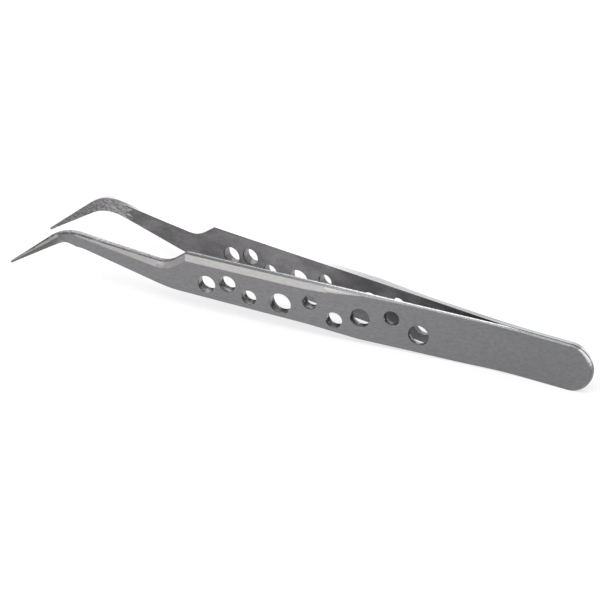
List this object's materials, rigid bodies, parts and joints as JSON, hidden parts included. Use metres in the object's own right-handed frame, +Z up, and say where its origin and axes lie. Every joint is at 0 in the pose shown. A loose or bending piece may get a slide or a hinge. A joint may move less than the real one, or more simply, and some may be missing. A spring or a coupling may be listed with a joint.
{
  "type": "curved tweezers",
  "caption": "Fine-point stainless steel tweezers with curved needle tips, drilled flat handles and a rounded welded heel, for cleanroom handling of small parts",
  "frame": {"origin": "centre of the bounding box at its lowest height, on the plane that the tweezers lie on", "axes": "+X from the heel to the tips, +Y from the right arm to the left arm, +Z up, so the open side of the hooks points down"},
  "size_m": [0.1198, 0.017, 0.0113],
  "materials": {
    "steel": "satin, brushed along the blades, with ground edges"
  },
  "bodies": {
    "root": {"left_arm": "steel", "right_arm": "steel"}
  },
  "joints": []
}
